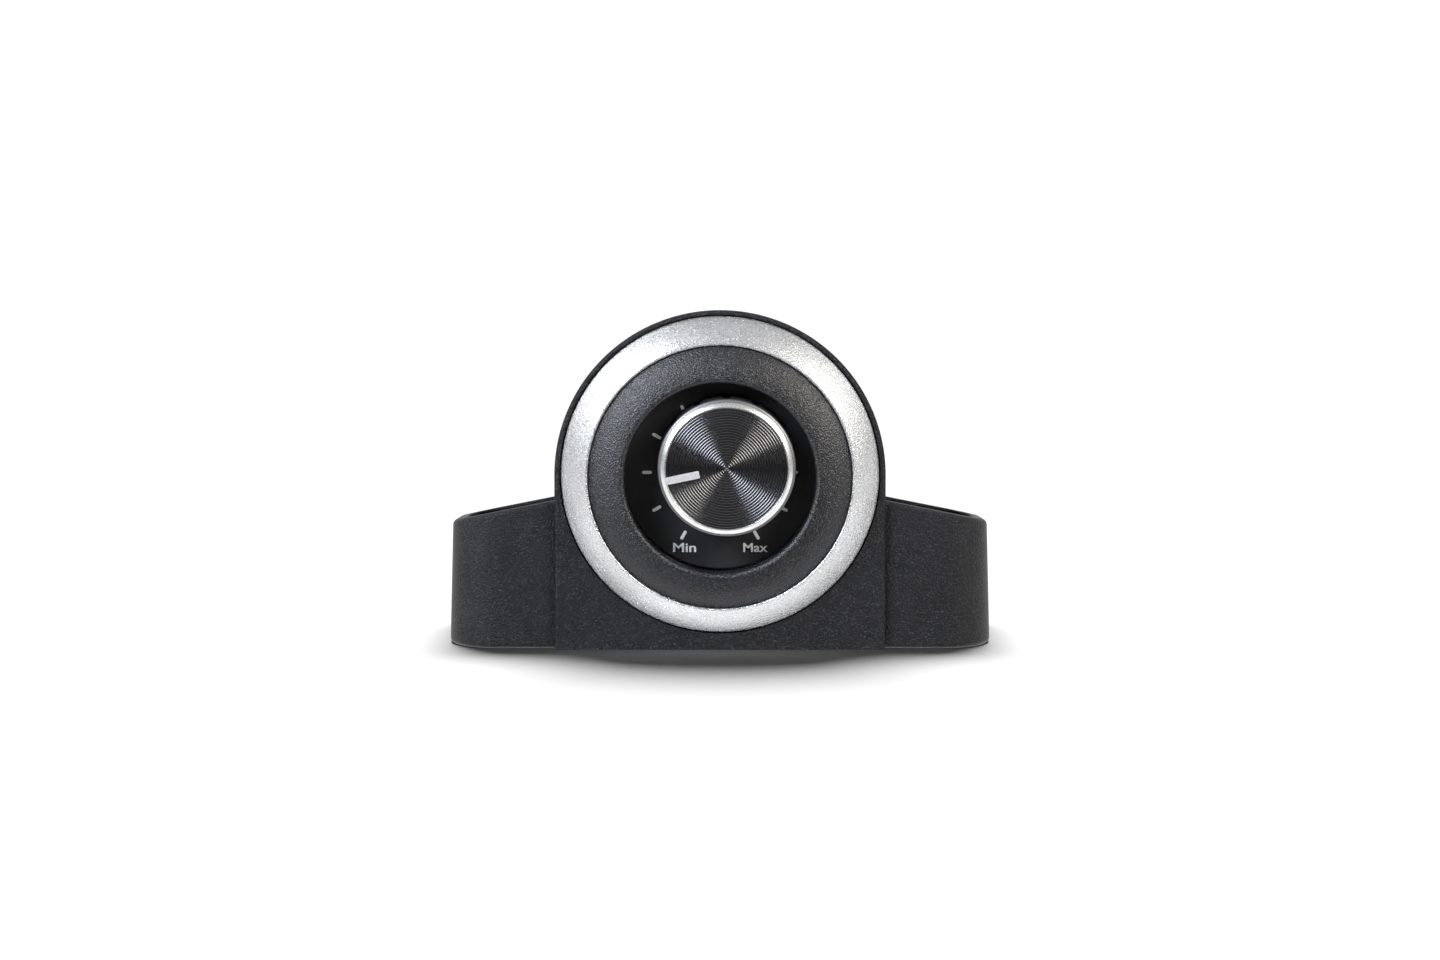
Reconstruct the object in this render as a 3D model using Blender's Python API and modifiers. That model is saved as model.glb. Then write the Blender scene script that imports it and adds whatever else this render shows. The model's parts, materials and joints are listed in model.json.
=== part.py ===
"""Dash-mounted trailer brake controller head, modelled as an assembly.

An arched, hollow pod carries a rotary gain knob in a bezel. A low pocketed wing on each
side takes a mounting screw. X runs left to right, Y from front to back, Z up. Depths are
measured backwards from the front face of the arch, so a negative depth is in front of it.
"""

import math

import bmesh
import bpy
from mathutils import Matrix, Vector

MM = 0.001
GAP = 0.3 * MM                      # clearance kept between neighbouring pieces

# Arched pod
ARCH_RADIUS = 20.65 * MM
ARCH_Z = 21.9 * MM                  # height of the arch centre
DIAL_Z = 22.0 * MM                  # height of the dial centre
POD_DEPTH = 31.0 * MM
SIDE_TAPER = 0.12                   # loss of radius per unit of depth
CENTRE_DROP = 0.06                  # drop of the arch centre per unit of depth
FRONT_FILLET = 0.45 * MM
REAR_FILLET = 5.0 * MM
POD_WALL = 1.9 * MM
FRONT_WALL = 2.8 * MM
CAVITY_END = 28.2 * MM
ARCH_STEPS = 32

# Wings
WING_HALF_LENGTH = 33.9 * MM
WING_FRONT = 0.92 * MM
WING_REAR = 28.5 * MM
WING_CORNER = 6.1 * MM
WING_DRAFT = math.tan(math.radians(1.5))
WING_TOP_LIMIT = 26.0 * MM
RIM_Z = 18.65 * MM                  # rim height where the wing leaves the pod
RIM_OUTWARD_SLOPE = 0.200
RIM_REAR_SLOPE = 0.100
WING_WALL = 1.5 * MM
WING_FLOOR = 2.2 * MM
WING_EDGE_ROUND = 0.6 * MM
MOUNT_HOLE_X = 27.5 * MM
MOUNT_HOLE_DEPTH = 15.0 * MM
MOUNT_HOLE_RADIUS = 2.25 * MM

# Trim ring and bezel
RING_OUTER = 19.74 * MM
RING_INNER = 16.4 * MM
RING_HEIGHT = 3.1 * MM
RING_RECESS_RADIUS = 19.95 * MM
RING_RECESS_DEPTH = 0.6 * MM
BEZEL_OUTER = RING_INNER - GAP
BEZEL_CREST_HEIGHT = 4.3 * MM
BEZEL_LIP = 0.6 * MM                # radius of the roll at the mouth
BEZEL_TILT = (8.0, 36.0)            # slope of the face beside the lip and at the rim, degrees
BEZEL_BACK_HEIGHT = 1.4 * MM
CUP_RIM = 11.8 * MM                 # clear radius of the mouth
CUP_INNER = 12.4 * MM               # radius behind the mouth
CUP_OUTER = 13.1 * MM
CUP_FLOOR_FRONT = 3.4 * MM
CUP_FLOOR_BACK = 5.0 * MM
PLATE_FRONT = 2.3 * MM
PLATE_BACK = 3.1 * MM
BEZEL_SCREW_CIRCLE = 14.75 * MM
BEZEL_SCREW_TIP = 2.3 * MM
BEZEL_SCREW_ANGLES = (90.0, 210.0, 330.0)

# Potentiometer and knob share one axis, set right of and above the dial centre
KNOB_X = 0.83 * MM
KNOB_Z = DIAL_Z + 1.3 * MM
KNOB_FRONT = 4.8 * MM
KNOB_BACK = 1.6 * MM
KNOB_RADIUS = 8.55 * MM
KNOB_RIM_RADIUS = 8.22 * MM
KNOB_FACE_RADIUS = 7.54 * MM
KNOB_NOTCHES = 14
KNOB_NOTCH_RADIUS = 0.5 * MM
POINTER_WIDTH = 0.94 * MM
POINTER_START = 3.4 * MM
POINTER_END = 7.4 * MM
POINTER_CLOCK_ANGLE = -102.0        # degrees clockwise from straight up
SHAFT_RADIUS = 2.8 * MM
BUSHING_RADIUS = 3.6 * MM
CAN_RADIUS = 8.3 * MM

# Circuit board and base
BOARD_FRONT = 16.0 * MM
BOARD_BACK = 17.2 * MM
BOARD_SCREW_X = 13.4 * MM
BOARD_SCREW_Z = 25.0 * MM
BASE_THICKNESS = 1.8 * MM
BASE_SCREWS = ((14.4 * MM, 7.5 * MM), (12.6 * MM, 23.5 * MM))   # (distance from middle, depth)
POST_TOP = 10.0 * MM
SOCKET_HALF_WIDTH = 7.2 * MM
SOCKET_Z = (5.3 * MM, 15.3 * MM)
SOCKET_FRONT = 17.5 * MM
SOCKET_BACK = 30.7 * MM
SOCKET_WALL = 1.4 * MM
PIN_PITCH = 2.5 * MM
PIN_COUNT = 4

# The model's origin is under the middle of its bounding box.
FRONT_Y = -(POD_DEPTH - KNOB_FRONT) / 2


# ---------------------------------------------------------------- scene and materials

def clear_scene():
    for obj in list(bpy.data.objects):
        bpy.data.objects.remove(obj, do_unlink=True)


def new_collection(name):
    collection = bpy.data.collections.new(name)
    bpy.context.scene.collection.children.link(collection)
    return collection


def new_material(name, colour, roughness, metallic=0.0):
    material = bpy.data.materials.new(name)
    material.use_nodes = True
    shader = material.node_tree.nodes["Principled BSDF"]
    shader.inputs["Base Color"].default_value = (*colour, 1.0)
    shader.inputs["Roughness"].default_value = roughness
    shader.inputs["Metallic"].default_value = metallic
    return material


clear_scene()
PARTS = new_collection("brake_controller_unit")
CUTTERS = new_collection("cutters")


def place(name, mesh, material=None):
    """Link a mesh as a named part, or as a cutter where it has no material."""
    obj = bpy.data.objects.new(name, mesh)
    if material is None:
        CUTTERS.objects.link(obj)
        obj.hide_render = True
        obj.display_type = "WIRE"
    else:
        PARTS.objects.link(obj)
        mesh.materials.append(material)
    return obj


# ---------------------------------------------------------------- shape helpers

def mesh_from(name, bm):
    bmesh.ops.recalc_face_normals(bm, faces=bm.faces)
    mesh = bpy.data.meshes.new(name)
    bm.to_mesh(mesh)
    bm.free()
    return mesh


def box(name, x, depth, z, material=None):
    """Axis-aligned box from (low, high) pairs in X, depth and Z."""
    lows = Vector((x[0], FRONT_Y + depth[0], z[0]))
    highs = Vector((x[1], FRONT_Y + depth[1], z[1]))
    bm = bmesh.new()
    bmesh.ops.create_cube(bm, size=1.0, matrix=Matrix.Diagonal((*(highs - lows), 1.0)))
    obj = place(name, mesh_from(name, bm), material)
    obj.location = (lows + highs) / 2
    return obj


def cylinder(name, radius, start, end, material=None, sides=24):
    """Solid cylinder between two world points."""
    start, end = Vector(start), Vector(end)
    bm = bmesh.new()
    bmesh.ops.create_cone(bm, cap_ends=True, segments=sides, radius1=radius, radius2=radius,
                          depth=(end - start).length)
    obj = place(name, mesh_from(name, bm), material)
    obj.location = (start + end) / 2
    obj.rotation_mode = "QUATERNION"
    obj.rotation_quaternion = Vector((0, 0, 1)).rotation_difference(end - start)
    if material is not None:
        obj.data.shade_smooth()
        obj.data.set_sharp_from_angle(angle=math.radians(40))
    return obj


def front_point(x, depth, z):
    return (x, FRONT_Y + depth, z)


def turned(name, profile, centre, material=None, steps=48, upright=False):
    """Turn a profile of (radius, height) points. Heights point to the front, or up."""
    bm = bmesh.new()
    verts = [bm.verts.new((radius, 0.0, height)) for radius, height in profile]
    on_axis = profile[0][0] == 0.0 and profile[-1][0] == 0.0
    for first, second in zip(verts, verts[1:]):
        bm.edges.new((first, second))
    if not on_axis:
        bm.edges.new((verts[-1], verts[0]))
    mesh = bpy.data.meshes.new(name)
    bm.to_mesh(mesh)
    bm.free()
    obj = place(name, mesh, material)
    obj.location = centre
    if not upright:
        obj.rotation_euler = (math.radians(90), 0, 0)
    screw = obj.modifiers.new("turn", "SCREW")
    screw.axis = "Z"
    screw.angle = math.tau
    screw.steps = steps
    screw.render_steps = steps
    screw.use_merge_vertices = True
    screw.merge_threshold = 0.00001
    screw.use_smooth_shade = material is not None
    return obj


def loft(name, rings, material=None):
    """Closed solid through rings of equal point count, capped at both ends."""
    bm = bmesh.new()
    loops = [[bm.verts.new(point) for point in ring] for ring in rings]
    for near, far in zip(loops, loops[1:]):
        for index in range(len(near)):
            after = (index + 1) % len(near)
            bm.faces.new((near[index], near[after], far[after], far[index]))
    bm.faces.new(loops[0])
    bm.faces.new(loops[-1])
    return place(name, mesh_from(name, bm), material)


def extruded(name, outline, depth, material=None):
    """Flat XZ outline given thickness between two depths."""
    rings = [[front_point(x, at, z) for x, z in outline] for at in depth]
    return loft(name, rings, material)


def tube(name, points, radius, material):
    curve = bpy.data.curves.new(name, "CURVE")
    curve.dimensions = "3D"
    curve.bevel_depth = radius
    curve.bevel_resolution = 2
    curve.use_fill_caps = True
    spline = curve.splines.new("POLY")
    spline.points.add(len(points) - 1)
    for point, position in zip(spline.points, points):
        point.co = (*position, 1.0)
    obj = bpy.data.objects.new(name, curve)
    PARTS.objects.link(obj)
    curve.materials.append(material)
    return obj


def boolean(target, other, operation="DIFFERENCE"):
    modifier = target.modifiers.new(other.name, "BOOLEAN")
    modifier.object = other
    modifier.operation = operation
    modifier.solver = "EXACT"


def polar(radius, degrees):
    angle = math.radians(degrees)
    return radius * math.cos(angle), radius * math.sin(angle)


# ---------------------------------------------------------------- housing

def arch_ring(depth, inset, foot=0.0):
    """Outline of the pod at one depth: a half circle standing on straight sides."""
    radius = ARCH_RADIUS - SIDE_TAPER * depth - inset
    centre = ARCH_Z - CENTRE_DROP * depth
    ring = [front_point(radius, depth, foot)]
    for step in range(ARCH_STEPS + 1):
        x, z = polar(radius, 180.0 * step / ARCH_STEPS)
        ring.append(front_point(x, depth, centre + z))
    ring.append(front_point(-radius, depth, foot))
    return ring


def fillet_steps(radius, count):
    """(distance from the face, inset from the side) along a rounded edge."""
    steps = []
    for step in range(count + 1):
        angle = math.pi / 2 * step / count
        steps.append((radius * (1 - math.sin(angle)), radius * (1 - math.cos(angle))))
    return steps


def pod_solid():
    front = [arch_ring(run, inset) for run, inset in fillet_steps(FRONT_FILLET, 3)]
    rear = [arch_ring(POD_DEPTH - run, inset) for run, inset in fillet_steps(REAR_FILLET, 5)]
    rings = list(reversed(front)) + rear
    return loft("pod_solid", rings)


def rounded_plan(height, inset):
    """Wing outline in plan at one height: a rectangle with round corners."""
    half = WING_HALF_LENGTH - inset
    near = WING_FRONT + inset
    far = WING_REAR - inset
    radius = WING_CORNER - inset
    corners = ((half - radius, far - radius, 0), (radius - half, far - radius, 90),
               (radius - half, near + radius, 180), (half - radius, near + radius, 270))
    points = []
    for x, depth, start in corners:
        for step in range(9):
            dx, dy = polar(radius, start + 90.0 * step / 8)
            points.append(front_point(x + dx, depth + dy, height))
    return points


def rim_height(x, depth):
    outward = RIM_OUTWARD_SLOPE * (abs(x) - ARCH_RADIUS)
    return RIM_Z - outward - RIM_REAR_SLOPE * (depth - WING_FRONT)


def roof_ring(depth):
    reach = WING_HALF_LENGTH + 8 * MM
    top = WING_TOP_LIMIT + 8 * MM
    points = ((-reach, rim_height(reach, depth)), (0.0, rim_height(0.0, depth)),
              (reach, rim_height(reach, depth)), (reach, top), (-reach, top))
    return [front_point(x, depth, z) for x, z in points]


def screw_spots():
    """Centres of the base screws, as (x, depth) pairs."""
    return [(side * x, depth) for x, depth in BASE_SCREWS for side in (-1, 1)]


def build_housing(material):
    draft = WING_DRAFT * WING_TOP_LIMIT
    housing = loft("housing_shell", [rounded_plan(0.0, 0.0), rounded_plan(WING_TOP_LIMIT, draft)],
                   material)
    boolean(housing, loft("wing_roof_cutter", [roof_ring(-6 * MM), roof_ring(40 * MM)]))
    edge_round = housing.modifiers.new("edge round", "BEVEL")
    edge_round.width = WING_EDGE_ROUND
    edge_round.segments = 2
    edge_round.limit_method = "ANGLE"
    edge_round.angle_limit = math.radians(50)

    pocket_top = WING_TOP_LIMIT + 4 * MM
    pocket_rings = [rounded_plan(WING_FLOOR, WING_WALL), rounded_plan(pocket_top, WING_WALL)]
    boolean(housing, loft("pocket_cutter", pocket_rings))
    boolean(housing, pod_solid(), "UNION")

    cavity = [arch_ring(FRONT_WALL, POD_WALL, -1 * MM), arch_ring(CAVITY_END, POD_WALL, -1 * MM)]
    boolean(housing, loft("cavity_cutter", cavity))
    for index, (x, depth) in enumerate(screw_spots()):
        y = FRONT_Y + depth
        foot = BASE_THICKNESS + GAP
        post = cylinder(f"base_post_{index}", 2.2 * MM, (x, y, foot), (x, y, POST_TOP), sides=16)
        boolean(housing, post, "UNION")
        wall_x = math.copysign(ARCH_RADIUS - SIDE_TAPER * depth - 1.0 * MM, x)
        rib = box(f"base_rib_{index}", sorted((x, wall_x)), (depth - 0.8 * MM, depth + 0.8 * MM),
                  (foot, POST_TOP))
        boolean(housing, rib, "UNION")
        pilot = cylinder(f"base_pilot_{index}", 1.0 * MM, (x, y, 1 * MM), (x, y, 8.6 * MM), sides=12)
        boolean(housing, pilot)
    for side in (-1, 1):
        label = "left" if side < 0 else "right"
        inner, outer = side * 12.6 * MM, side * 17.6 * MM
        rail = box(f"board_rail_{label}", sorted((inner, outer)), (6.2 * MM, 15.7 * MM),
                   (BOARD_SCREW_Z - 0.8 * MM, BOARD_SCREW_Z + 0.8 * MM))
        boolean(housing, rail, "UNION")
        x = side * BOARD_SCREW_X
        boss = cylinder(f"board_boss_{label}", 2.0 * MM, front_point(x, 6.6 * MM, BOARD_SCREW_Z),
                        front_point(x, BOARD_FRONT - GAP, BOARD_SCREW_Z), sides=16)
        boolean(housing, boss, "UNION")
        pilot = cylinder(f"board_pilot_{label}", 1.0 * MM, front_point(x, 9 * MM, BOARD_SCREW_Z),
                         front_point(x, 18 * MM, BOARD_SCREW_Z), sides=12)
        boolean(housing, pilot)
        y = FRONT_Y + MOUNT_HOLE_DEPTH
        hole = cylinder(f"mount_hole_{label}", MOUNT_HOLE_RADIUS,
                        (side * MOUNT_HOLE_X, y, -1 * MM), (side * MOUNT_HOLE_X, y, 4 * MM))
        boolean(housing, hole)

    recess = cylinder("ring_recess", RING_RECESS_RADIUS, front_point(0, -2 * MM, DIAL_Z),
                      front_point(0, RING_RECESS_DEPTH, DIAL_Z), sides=64)
    boolean(housing, recess)
    mouth = cylinder("cup_mouth", CUP_OUTER + GAP, front_point(0, -2 * MM, DIAL_Z),
                     front_point(0, 5 * MM, DIAL_Z), sides=48)
    boolean(housing, mouth)
    for index, hole in enumerate(bezel_screw_holes(-1 * MM, 5 * MM, "wall")):
        boolean(housing, hole)
    half = SOCKET_HALF_WIDTH + GAP
    opening = box("socket_opening", (-half, half), (26 * MM, 33 * MM),
                  (SOCKET_Z[0] - GAP, SOCKET_Z[1] + GAP))
    boolean(housing, opening)
    return housing


# ---------------------------------------------------------------- front trim

def bezel_screw_holes(start, end, label):
    holes = []
    for index, angle in enumerate(BEZEL_SCREW_ANGLES, 1):
        x, z = polar(BEZEL_SCREW_CIRCLE, angle)
        holes.append(cylinder(f"{label}_hole_{index}", 1.0 * MM, front_point(x, start, DIAL_Z + z),
                              front_point(x, end, DIAL_Z + z), sides=12))
    return holes


def bezel_face(lip_steps, face_steps):
    """(radius, height) over the bezel's front: a small roll at the mouth, then one wide arc."""
    first, last = (math.radians(tilt) for tilt in BEZEL_TILT)
    points = []
    for step in range(lip_steps + 1):
        x, z = polar(BEZEL_LIP, 180.0 - (90.0 + BEZEL_TILT[0]) * step / lip_steps)
        points.append((CUP_RIM + BEZEL_LIP + x, BEZEL_CREST_HEIGHT - BEZEL_LIP + z))
    start_radius, start_height = points[-1]
    bend = (BEZEL_OUTER - start_radius) / (math.sin(last) - math.sin(first))
    for step in range(1, face_steps + 1):
        tilt = first + (last - first) * step / face_steps
        points.append((start_radius + bend * (math.sin(tilt) - math.sin(first)),
                       start_height - bend * (math.cos(first) - math.cos(tilt))))
    return points


def build_trim(ring_material, bezel_material, plate_material, screw_material):
    centre = front_point(0, 0, DIAL_Z)
    ledge = BEZEL_BACK_HEIGHT - GAP
    back = -(RING_RECESS_DEPTH - GAP)
    ring = turned("silver_ring", [
        (RING_INNER + 0.25 * MM, RING_HEIGHT), (RING_OUTER - 0.1 * MM, 0.12 * MM),
        (RING_OUTER, 0.0), (RING_OUTER, back), (CUP_OUTER + GAP, back),
        (CUP_OUTER + GAP, ledge), (RING_INNER, ledge), (RING_INNER, RING_HEIGHT - 0.2 * MM),
    ], centre, ring_material, steps=64)
    for hole in bezel_screw_holes(-2 * MM, 2 * MM, "ring"):
        boolean(ring, hole)

    profile = [(0.0, -CUP_FLOOR_FRONT), (CUP_INNER, -CUP_FLOOR_FRONT), (CUP_INNER, 1.2 * MM),
               (CUP_RIM, 2.4 * MM)]
    profile += bezel_face(4, 5)
    profile += [(BEZEL_OUTER, BEZEL_BACK_HEIGHT), (CUP_OUTER, BEZEL_BACK_HEIGHT),
                (CUP_OUTER, -CUP_FLOOR_BACK), (0.0, -CUP_FLOOR_BACK)]
    bezel = turned("dial_bezel", profile, centre, bezel_material, steps=64)
    for hole in bezel_screw_holes(-BEZEL_SCREW_TIP - 0.2 * MM, 0.0, "bezel"):
        boolean(bezel, hole)
    boolean(bezel, cylinder("cup_hole", 4.0 * MM, front_point(KNOB_X, 2 * MM, KNOB_Z),
                            front_point(KNOB_X, 7 * MM, KNOB_Z)))

    plate = cylinder("dial_plate", CUP_INNER - GAP, front_point(0, PLATE_FRONT, DIAL_Z),
                     front_point(0, PLATE_BACK, DIAL_Z), plate_material, sides=48)
    boolean(plate, cylinder("plate_hole", 4.0 * MM, front_point(KNOB_X, 0, KNOB_Z),
                            front_point(KNOB_X, 5 * MM, KNOB_Z)))

    head_front = -(FRONT_WALL + GAP)
    for index, angle in enumerate(BEZEL_SCREW_ANGLES, 1):
        x, z = polar(BEZEL_SCREW_CIRCLE, angle)
        turned(f"bezel_screw_{index}", [
            (0.0, BEZEL_SCREW_TIP), (0.7 * MM, BEZEL_SCREW_TIP - 0.3 * MM), (0.7 * MM, head_front),
            (1.3 * MM, head_front), (1.3 * MM, head_front - 1.2 * MM), (0.0, head_front - 1.2 * MM),
        ], front_point(x, 0, DIAL_Z + z), screw_material, steps=12)


# ---------------------------------------------------------------- knob and potentiometer

def build_knob(cap_material, core_material, pointer_material, steel):
    axis = bpy.data.objects.new("knob_axis", None)
    axis.location = front_point(KNOB_X, 0, KNOB_Z)
    PARTS.objects.link(axis)
    centre = front_point(KNOB_X, 0, KNOB_Z)
    face_back = KNOB_FRONT - 1.2 * MM

    cap = turned("knob_cap", [
        (0.0, KNOB_FRONT), (KNOB_FACE_RADIUS, KNOB_FRONT), (KNOB_RIM_RADIUS, KNOB_FRONT - 0.5 * MM),
        (KNOB_RADIUS, KNOB_FRONT - 0.9 * MM), (KNOB_RADIUS, -KNOB_BACK), (7.3 * MM, -KNOB_BACK),
        (7.3 * MM, face_back), (0.0, face_back),
    ], centre, cap_material, steps=56)
    for index in range(KNOB_NOTCHES):
        x, z = polar(KNOB_RADIUS + 0.25 * MM, 360.0 * (index + 0.5) / KNOB_NOTCHES)
        boolean(cap, cylinder(f"grip_notch_{index}", KNOB_NOTCH_RADIUS,
                              front_point(KNOB_X + x, -KNOB_FRONT + 1.2 * MM, KNOB_Z + z),
                              front_point(KNOB_X + x, 3 * MM, KNOB_Z + z), sides=8))
    core = turned("knob_core", [
        (7.0 * MM, face_back - GAP), (7.0 * MM, 1.2 * MM), (SHAFT_RADIUS + GAP, 1.2 * MM),
        (SHAFT_RADIUS + GAP, face_back - GAP),
    ], centre, core_material, steps=32)

    screw_depth = -2.25 * MM
    for target, label in ((cap, "cap"), (core, "core")):
        boolean(target, cylinder(f"set_screw_hole_{label}", 1.1 * MM,
                                 front_point(KNOB_X, screw_depth, KNOB_Z - 2.9 * MM),
                                 front_point(KNOB_X, screw_depth, KNOB_Z - 10 * MM), sides=12))
    screw = turned("knob_set_screw", [
        (0.0, -3.15 * MM), (0.8 * MM, -3.15 * MM), (0.8 * MM, -8.1 * MM), (0.4 * MM, -8.1 * MM),
        (0.4 * MM, -7.1 * MM), (0.0, -7.1 * MM),
    ], front_point(KNOB_X, screw_depth, KNOB_Z), steel, steps=12, upright=True)

    groove_floor = -KNOB_FRONT + 0.7 * MM
    groove_half = POINTER_WIDTH / 2 + GAP
    pointer_half = POINTER_WIDTH / 2
    spin = Matrix.Rotation(math.radians(POINTER_CLOCK_ANGLE), 4, "Y")
    groove = box("pointer_groove", (-groove_half, groove_half), (-9 * MM, groove_floor),
                 (POINTER_START - GAP, POINTER_END + GAP))
    pointer = box("knob_pointer", (-pointer_half, pointer_half),
                  (-KNOB_FRONT + 0.05 * MM, groove_floor - GAP), (POINTER_START, POINTER_END),
                  pointer_material)
    for bar in (groove, pointer):
        turn = Matrix.Translation(centre) @ spin
        bar.matrix_world = turn @ Matrix.Translation(bar.location - Vector((0, FRONT_Y, 0)))
    boolean(cap, groove)

    shaft = turned("pot_shaft", [
        (0.0, 3.2 * MM), (SHAFT_RADIUS - 0.3 * MM, 3.2 * MM), (SHAFT_RADIUS, 2.9 * MM),
        (SHAFT_RADIUS, -10.5 * MM), (0.0, -10.5 * MM),
    ], centre, steel, steps=24)
    wiper = turned("pot_wiper", [
        (6.6 * MM, -8.0 * MM), (6.6 * MM, -9.2 * MM), (SHAFT_RADIUS + 0.2 * MM, -9.2 * MM),
        (SHAFT_RADIUS + 0.2 * MM, -8.0 * MM),
    ], centre, core_material, steps=24)
    bpy.context.view_layer.update()
    for piece in (cap, core, screw, pointer, shaft, wiper):
        piece.parent = axis
        piece.matrix_parent_inverse = axis.matrix_world.inverted()


def build_potentiometer(zinc, brass, phenolic):
    centre = front_point(KNOB_X, 0, KNOB_Z)
    inner = SHAFT_RADIUS + 0.25 * MM
    turned("pot_bushing", [
        (BUSHING_RADIUS, 0.8 * MM), (BUSHING_RADIUS, -5.3 * MM), (CAN_RADIUS, -5.3 * MM),
        (CAN_RADIUS, -5.9 * MM), (inner, -5.9 * MM), (inner, 0.8 * MM),
    ], centre, brass, steps=32)
    turned("pot_wafer", [
        (CAN_RADIUS, -6.2 * MM), (CAN_RADIUS, -7.1 * MM), (inner, -7.1 * MM), (inner, -6.2 * MM),
    ], centre, phenolic, steps=32)
    turned("pot_can", [
        (CAN_RADIUS, -7.4 * MM), (CAN_RADIUS, -13.3 * MM), (0.0, -13.3 * MM), (0.0, -12.6 * MM),
        (7.6 * MM, -12.6 * MM), (7.6 * MM, -7.4 * MM),
    ], centre, zinc, steps=32)
    turned("pot_washer", [
        (5.8 * MM, -1.5 * MM), (5.8 * MM, -2.0 * MM), (BUSHING_RADIUS + 0.2 * MM, -2.0 * MM),
        (BUSHING_RADIUS + 0.2 * MM, -1.5 * MM),
    ], centre, zinc, steps=32)
    nut = cylinder("pot_nut", 5.0 * MM / math.cos(math.radians(30)),
                   front_point(KNOB_X, -0.6 * MM, KNOB_Z), front_point(KNOB_X, 1.2 * MM, KNOB_Z),
                   brass, sides=6)
    boolean(nut, cylinder("nut_bore", BUSHING_RADIUS + GAP, front_point(KNOB_X, -3 * MM, KNOB_Z),
                          front_point(KNOB_X, 3 * MM, KNOB_Z)))
    for index in range(3):
        x = KNOB_X + (index - 1) * 5.0 * MM
        drop = KNOB_Z - 12.2 * MM
        top = KNOB_Z - math.sqrt(CAN_RADIUS ** 2 - (x - KNOB_X) ** 2) - 0.8 * MM
        tube(f"pot_terminal_{index + 1}", [
            front_point(x, 9.0 * MM, top), front_point(x, 9.0 * MM, drop),
            front_point(x, BOARD_FRONT - GAP, drop),
        ], 0.4 * MM, zinc)


# ---------------------------------------------------------------- electronics

def build_electronics(board_green, chip_black, can_silver, tin, socket_black, steel):
    board = extruded("circuit_board", [
        (-15.4 * MM, 4 * MM), (15.4 * MM, 4 * MM), (15.4 * MM, 26.5 * MM),
        (11 * MM, 32 * MM), (-11 * MM, 32 * MM), (-15.4 * MM, 26.5 * MM),
    ], (BOARD_FRONT, BOARD_BACK), board_green)
    seat = BOARD_BACK + GAP
    for index, side in enumerate((-1, 1), 1):
        x = side * BOARD_SCREW_X
        hole = cylinder(f"board_hole_{index}", 1.1 * MM,
                        front_point(x, BOARD_FRONT - 2 * MM, BOARD_SCREW_Z),
                        front_point(x, BOARD_BACK + 2 * MM, BOARD_SCREW_Z), sides=12)
        boolean(board, hole)
        turned(f"board_screw_{index}", [
            (0.0, -9.8 * MM), (0.7 * MM, -10.2 * MM), (0.7 * MM, -seat), (1.6 * MM, -seat),
            (1.6 * MM, -seat - 1.1 * MM), (0.0, -seat - 1.1 * MM),
        ], front_point(x, 0, BOARD_SCREW_Z), steel, steps=12)
        turned(f"capacitor_{index}", [
            (0.0, -seat), (3.1 * MM, -seat), (3.1 * MM, -24.9 * MM), (2.8 * MM, -25.2 * MM),
            (0.0, -25.2 * MM),
        ], front_point(side * 10.6 * MM, 0, 18.6 * MM), can_silver, steps=20)
        centre_x = side * 5.2 * MM
        body = box(f"power_transistor_{index}", (centre_x - 3.2 * MM, centre_x + 3.2 * MM),
                   (seat, seat + 2.3 * MM), (25.6 * MM, 31.4 * MM), chip_black)
        soften(body, 0.3 * MM)
    chip = box("controller_chip", (-3.6 * MM, 3.6 * MM), (seat, seat + 1.4 * MM),
               (17.2 * MM, 24.4 * MM), chip_black)
    soften(chip, 0.25 * MM)

    half = SOCKET_HALF_WIDTH
    socket = box("cable_socket", (-half, half), (SOCKET_FRONT, SOCKET_BACK), SOCKET_Z, socket_black)
    soften(socket, 0.4 * MM)
    mouth = box("socket_mouth", (SOCKET_WALL - half, half - SOCKET_WALL), (21 * MM, 34 * MM),
                (SOCKET_Z[0] + SOCKET_WALL, SOCKET_Z[1] - SOCKET_WALL))
    boolean(socket, mouth)
    level = sum(SOCKET_Z) / 2
    for index in range(PIN_COUNT):
        x = (index - (PIN_COUNT - 1) / 2) * PIN_PITCH
        boolean(socket, cylinder(f"pin_hole_{index + 1}", 0.75 * MM,
                                 front_point(x, SOCKET_FRONT - 1 * MM, level),
                                 front_point(x, 23 * MM, level), sides=12))
        turned(f"socket_pin_{index + 1}", [
            (0.0, -SOCKET_FRONT), (0.45 * MM, -SOCKET_FRONT), (0.45 * MM, -24.6 * MM),
            (0.2 * MM, -25.0 * MM), (0.0, -25.0 * MM),
        ], front_point(x, 0, level), tin, steps=12)


def soften(obj, width):
    """Break the edges of a moulded block."""
    edge = obj.modifiers.new("edge break", "BEVEL")
    edge.width = width
    edge.segments = 1
    edge.limit_method = "ANGLE"


# ---------------------------------------------------------------- base

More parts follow.
